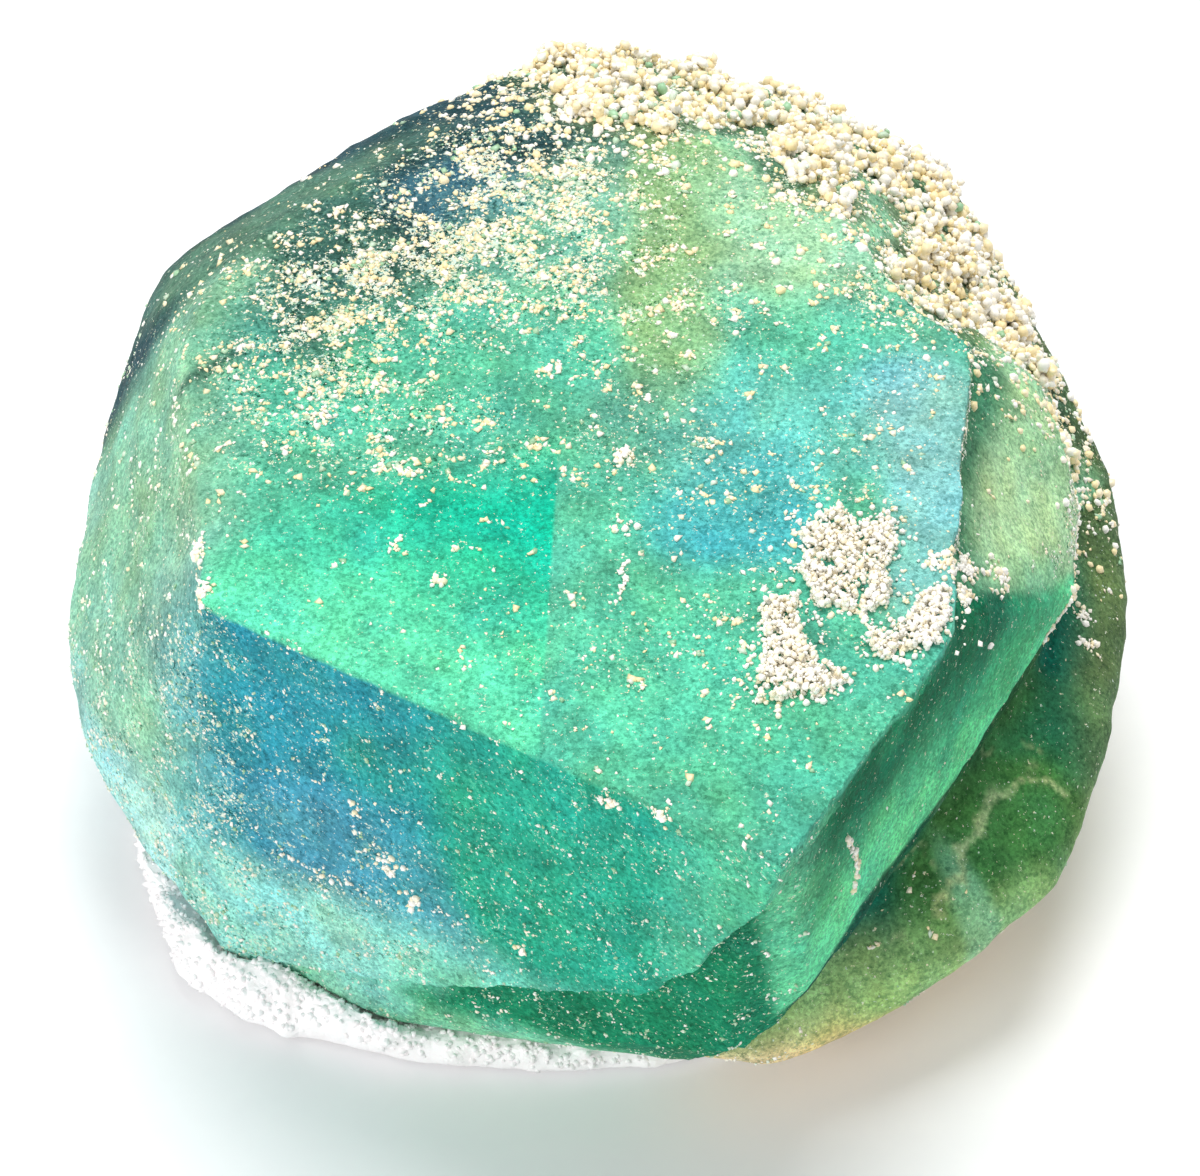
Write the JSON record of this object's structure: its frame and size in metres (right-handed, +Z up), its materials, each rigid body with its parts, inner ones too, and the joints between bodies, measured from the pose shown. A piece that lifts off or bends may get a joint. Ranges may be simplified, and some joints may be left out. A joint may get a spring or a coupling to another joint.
{
  "type": "fluorite cube with quartz",
  "caption": "Green fluorite crystal with cube faces, ledges and a bevelled corner on a white quartz matrix cut flat below, with cream quartz druse on its shoulder and top.",
  "frame": {"origin": "middle of the bounding box in plan, on the flat cut under the matrix", "axes": "+Z up, square to the flat cut; +X to the viewer's right and +Y away from the viewer of the pictured side"},
  "size_m": [0.05, 0.0576, 0.0272],
  "materials": {
    "fluorite": "frosted translucent green crystal, dusted with quartz grains",
    "white_quartz": "milky white drusy quartz",
    "cream_quartz": "cream sugary quartz druse"
  },
  "bodies": {
    "root": {"fluorite_cube": "fluorite", "quartz_base": "white_quartz", "quartz_shoulder_crust": "cream_quartz", "quartz_patch_1": "cream_quartz", "quartz_patch_2": "cream_quartz", "quartz_patch_3": "cream_quartz"}
  },
  "joints": []
}
